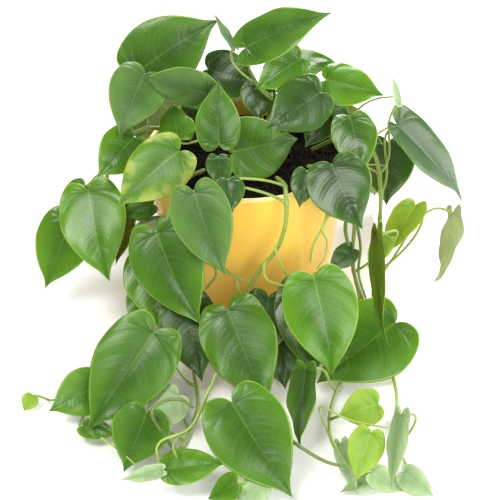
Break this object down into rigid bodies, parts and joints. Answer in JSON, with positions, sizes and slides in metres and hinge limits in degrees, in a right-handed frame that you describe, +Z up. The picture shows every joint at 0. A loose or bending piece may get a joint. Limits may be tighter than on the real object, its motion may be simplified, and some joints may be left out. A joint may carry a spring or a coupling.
{
  "type": "potted philodendron",
  "caption": "Trailing heartleaf philodendron in a tapered glazed pot, with vines that spill over the rim and lie on the surface around it.",
  "frame": {"origin": "centre of the pot's flat foot, on the surface that the pot stands on", "axes": "+Z up, along the pot's axis; -Y is the front, where most of the vines trail; +X is to the right seen from the front"},
  "size_m": [0.365, 0.4967, 0.2626],
  "materials": {
    "pot": "satin",
    "soil": "matte",
    "leaf": "satin",
    "young_leaf": "satin",
    "stem": "satin"
  },
  "bodies": {
    "root": {"pot": "pot", "soil": "soil", "stem_crown_left": "stem", "leaf_crown_left_top": "leaf", "leaf_crown_left_back": "leaf", "leaf_crown_left_low": "leaf", "stem_crown_right": "stem", "leaf_crown_top": "leaf", "leaf_crown_right_back": "leaf", "leaf_crown_right_young": "young_leaf", "leaf_crown_right_side": "leaf", "leaf_cupped": "leaf", "stem_crown_front": "stem", "leaf_upright": "leaf", "leaf_crinkled": "leaf", "leaf_middle": "leaf", "vine_left": "stem", "leaf_crown_left_side": "leaf", "leaf_left_rim": "leaf", "leaf_left_upper": "leaf", "leaf_left_outer": "leaf", "leaf_left_floor": "leaf", "vine_front_left": "stem", "leaf_dappled": "leaf", "leaf_glossy": "leaf", "leaf_glossy_under": "leaf", "leaf_big_left": "leaf", "leaf_floor_left": "leaf", "leaf_floor_flat": "leaf", "vine_front": "stem", "leaf_silvery": "leaf", "leaf_lower_middle": "leaf", "leaf_biggest": "leaf", "vine_right": "stem", "leaf_round_right": "leaf", "leaf_bright": "leaf", "leaf_under_bright": "leaf", "leaf_narrow": "leaf", "leaf_lime_heart": "young_leaf", "vine_far_right": "stem", "leaf_twisted": "leaf", "leaf_long_right": "leaf", "leaf_right_back": "leaf", "leaf_lime_folded": "young_leaf", "leaf_edge_on": "leaf", "leaf_hanging": "leaf", "leaf_big_right": "leaf", "leaf_silver_edge": "leaf", "vine_back_left": "stem", "leaf_back_left_crown": "leaf", "leaf_back_left_rim": "leaf", "leaf_back_left_mid": "leaf", "leaf_back_left_low": "leaf", "vine_back_right": "stem", "leaf_back_right_crown": "leaf", "leaf_back_middle": "leaf", "leaf_back_right_rim": "leaf", "leaf_back_right_mid": "leaf", "leaf_back_right_low": "leaf"}
  },
  "joints": []
}
